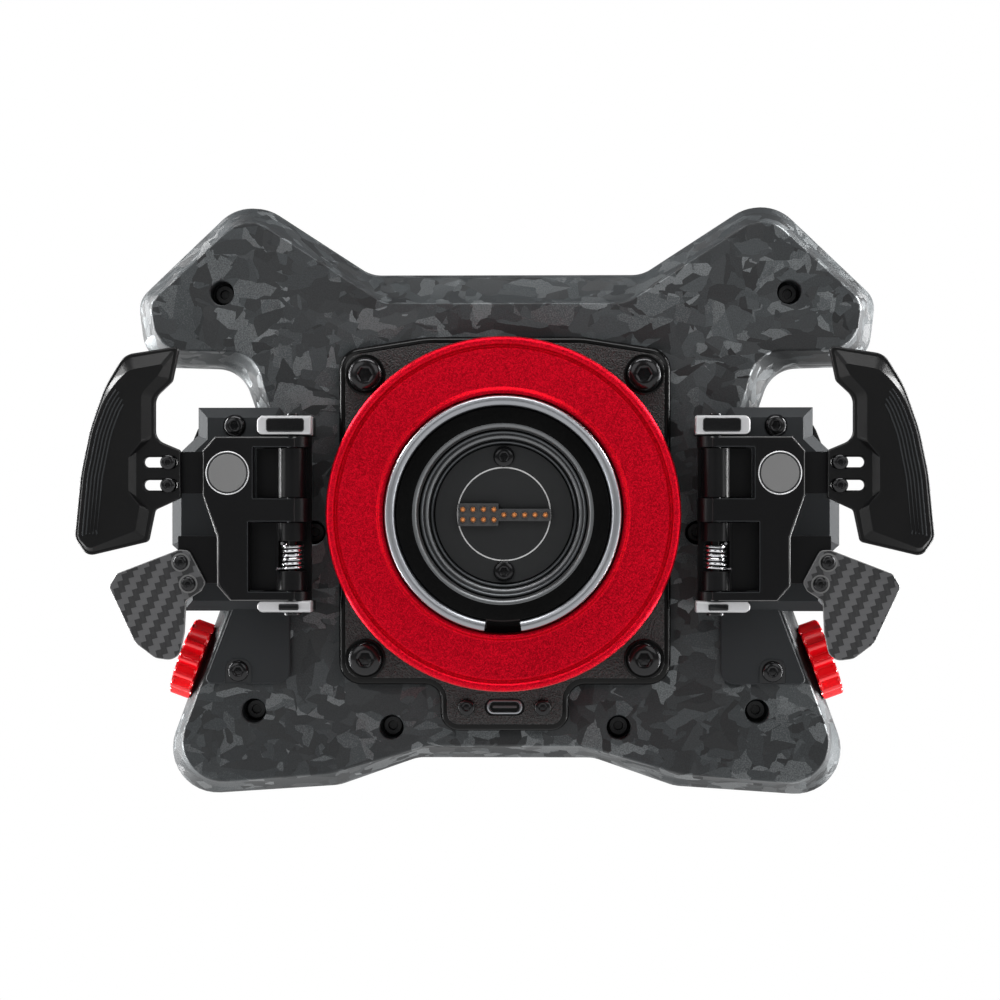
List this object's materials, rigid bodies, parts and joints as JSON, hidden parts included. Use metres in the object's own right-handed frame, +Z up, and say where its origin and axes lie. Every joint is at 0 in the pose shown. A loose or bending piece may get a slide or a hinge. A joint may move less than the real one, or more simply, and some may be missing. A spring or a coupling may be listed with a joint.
{
  "type": "sim racing wheel",
  "caption": "Formula-style racing wheel for a driving simulator with forged carbon body, quick-release hub, shift and clutch paddles, buttons and knobs.",
  "frame": {"origin": "on the steering column axis, in the mouth plane of the quick-release socket", "axes": "+X to the right seen from behind, +Y towards the driver, +Z up"},
  "size_m": [0.325, 0.0883, 0.2315],
  "materials": {
    "carbon": "satin forged carbon",
    "powder_black": "fine wrinkle powder coat",
    "red_anodised": "red anodised, fine sparkle",
    "steel": "polished",
    "black_aluminium": "black anodised",
    "black_oxide": "black oxide",
    "solder_mask": "black board",
    "contacts": "grey block with copper pins",
    "cover_grey": "satin moulded",
    "grip_rubber": "matte moulded rubber",
    "twill": "twill carbon",
    "magnet": "satin nickel",
    "spring_steel": "bright",
    "red_plastic": "satin moulded",
    "board_green": "circuit board",
    "lens": "smoked",
    "button_black": "satin moulded"
  },
  "bodies": {
    "chassis": {"rear_housing": "carbon", "front_plate": "carbon", "main_circuit_board": "board_green", "light_lens": "lens", "qr_base_plate": "powder_black", "qr_hub": "black_aluminium", "qr_steel_race": "steel", "contact_board": "solder_mask", "contact_block": "contacts", "port_socket": "spring_steel", "base_screw_1": "black_oxide", "base_screw_2": "black_oxide", "base_screw_3": "black_oxide", "base_screw_4": "black_oxide", "board_screw_1": "black_oxide", "port_screw_1": "black_oxide", "board_screw_2": "black_oxide", "port_screw_2": "black_oxide", "right_grip_cover": "cover_grey", "right_grip": "grip_rubber", "right_cover_screw_1": "black_oxide", "right_cover_screw_2": "black_oxide", "right_paddle_bracket": "black_aluminium", "right_hinge_pin": "black_oxide", "right_clutch_spring": "spring_steel", "left_grip_cover": "cover_grey", "left_grip": "grip_rubber", "left_cover_screw_1": "black_oxide", "left_cover_screw_2": "black_oxide", "left_paddle_bracket": "black_aluminium", "left_hinge_pin": "black_oxide", "left_clutch_spring": "spring_steel"},
    "release_ring": {"release_ring": "red_anodised"},
    "right_shift_paddle": {"right_shift_lever": "black_aluminium", "right_shift_magnet": "magnet", "right_shift_blade": "black_aluminium"},
    "right_clutch_paddle": {"right_clutch_lever": "black_aluminium", "right_clutch_blade": "twill"},
    "right_thumb_wheel": {"right_thumb_wheel": "red_plastic"},
    "left_shift_paddle": {"left_shift_lever": "black_aluminium", "left_shift_magnet": "magnet", "left_shift_blade": "black_aluminium"},
    "left_clutch_paddle": {"left_clutch_lever": "black_aluminium", "left_clutch_blade": "twill"},
    "left_thumb_wheel": {"left_thumb_wheel": "red_plastic"},
    "push_button_1": {"push_button_1": "button_black"},
    "push_button_2": {"push_button_2": "button_black"},
    "push_button_3": {"push_button_3": "button_black"},
    "push_button_4": {"push_button_4": "button_black"},
    "push_button_5": {"push_button_5": "button_black"},
    "push_button_6": {"push_button_6": "button_black"},
    "push_button_7": {"push_button_7": "button_black"},
    "push_button_8": {"push_button_8": "button_black"},
    "push_button_9": {"push_button_9": "button_black"},
    "push_button_10": {"push_button_10": "button_black"},
    "rotary_knob_1": {"rotary_knob_1": "black_aluminium"},
    "rotary_knob_2": {"rotary_knob_2": "black_aluminium"},
    "rotary_knob_3": {"rotary_knob_3": "black_aluminium"}
  },
  "joints": [
    {"name": "ring_pull", "type": "slide", "parent": "chassis", "child": "release_ring", "axis": [0, 1, 0], "range_m": [0, 0.008], "stiffness_N_per_m": 1500},
    {"name": "right_shift", "type": "hinge", "parent": "chassis", "child": "right_shift_paddle", "pos_m": [0.0803, 0.013, 0], "axis": [0, 0, 1], "range_deg": [0, 4], "stiffness_Nm_per_rad": 2},
    {"name": "right_clutch", "type": "hinge", "parent": "chassis", "child": "right_clutch_paddle", "pos_m": [0.0803, 0.013, 0], "axis": [0, 0, 1], "range_deg": [0, 12], "stiffness_Nm_per_rad": 0.6},
    {"name": "right_thumb_turn", "type": "hinge", "parent": "chassis", "child": "right_thumb_wheel", "pos_m": [0.1211, 0.05, -0.0584], "axis": [0.9393, 0, 0.3432], "continuous": true},
    {"name": "left_shift", "type": "hinge", "parent": "chassis", "child": "left_shift_paddle", "pos_m": [-0.0803, 0.013, 0], "axis": [0, 0, -1], "range_deg": [0, 4], "stiffness_Nm_per_rad": 2},
    {"name": "left_clutch", "type": "hinge", "parent": "chassis", "child": "left_clutch_paddle", "pos_m": [-0.0803, 0.013, 0], "axis": [0, 0, -1], "range_deg": [0, 12], "stiffness_Nm_per_rad": 0.6},
    {"name": "left_thumb_turn", "type": "hinge", "parent": "chassis", "child": "left_thumb_wheel", "pos_m": [-0.1211, 0.05, -0.0584], "axis": [-0.9393, 0, 0.3432], "continuous": true},
    {"name": "push_button_1_press", "type": "slide", "parent": "chassis", "child": "push_button_1", "axis": [0, -1, 0], "range_m": [0, 0.002], "stiffness_N_per_m": 600},
    {"name": "push_button_2_press", "type": "slide", "parent": "chassis", "child": "push_button_2", "axis": [0, -1, 0], "range_m": [0, 0.002], "stiffness_N_per_m": 600},
    {"name": "push_button_3_press", "type": "slide", "parent": "chassis", "child": "push_button_3", "axis": [0, -1, 0], "range_m": [0, 0.002], "stiffness_N_per_m": 600},
    {"name": "push_button_4_press", "type": "slide", "parent": "chassis", "child": "push_button_4", "axis": [0, -1, 0], "range_m": [0, 0.002], "stiffness_N_per_m": 600},
    {"name": "push_button_5_press", "type": "slide", "parent": "chassis", "child": "push_button_5", "axis": [0, -1, 0], "range_m": [0, 0.002], "stiffness_N_per_m": 600},
    {"name": "push_button_6_press", "type": "slide", "parent": "chassis", "child": "push_button_6", "axis": [0, -1, 0], "range_m": [0, 0.002], "stiffness_N_per_m": 600},
    {"name": "push_button_7_press", "type": "slide", "parent": "chassis", "child": "push_button_7", "axis": [0, -1, 0], "range_m": [0, 0.002], "stiffness_N_per_m": 600},
    {"name": "push_button_8_press", "type": "slide", "parent": "chassis", "child": "push_button_8", "axis": [0, -1, 0], "range_m": [0, 0.002], "stiffness_N_per_m": 600},
    {"name": "push_button_9_press", "type": "slide", "parent": "chassis", "child": "push_button_9", "axis": [0, -1, 0], "range_m": [0, 0.002], "stiffness_N_per_m": 600},
    {"name": "push_button_10_press", "type": "slide", "parent": "chassis", "child": "push_button_10", "axis": [0, -1, 0], "range_m": [0, 0.002], "stiffness_N_per_m": 600},
    {"name": "rotary_knob_1_turn", "type": "hinge", "parent": "chassis", "child": "rotary_knob_1", "pos_m": [-0.032, 0.0663, -0.072], "axis": [0, 1, 0], "continuous": true},
    {"name": "rotary_knob_2_turn", "type": "hinge", "parent": "chassis", "child": "rotary_knob_2", "pos_m": [0, 0.0663, -0.076], "axis": [0, 1, 0], "continuous": true},
    {"name": "rotary_knob_3_turn", "type": "hinge", "parent": "chassis", "child": "rotary_knob_3", "pos_m": [0.032, 0.0663, -0.072], "axis": [0, 1, 0], "continuous": true}
  ]
}
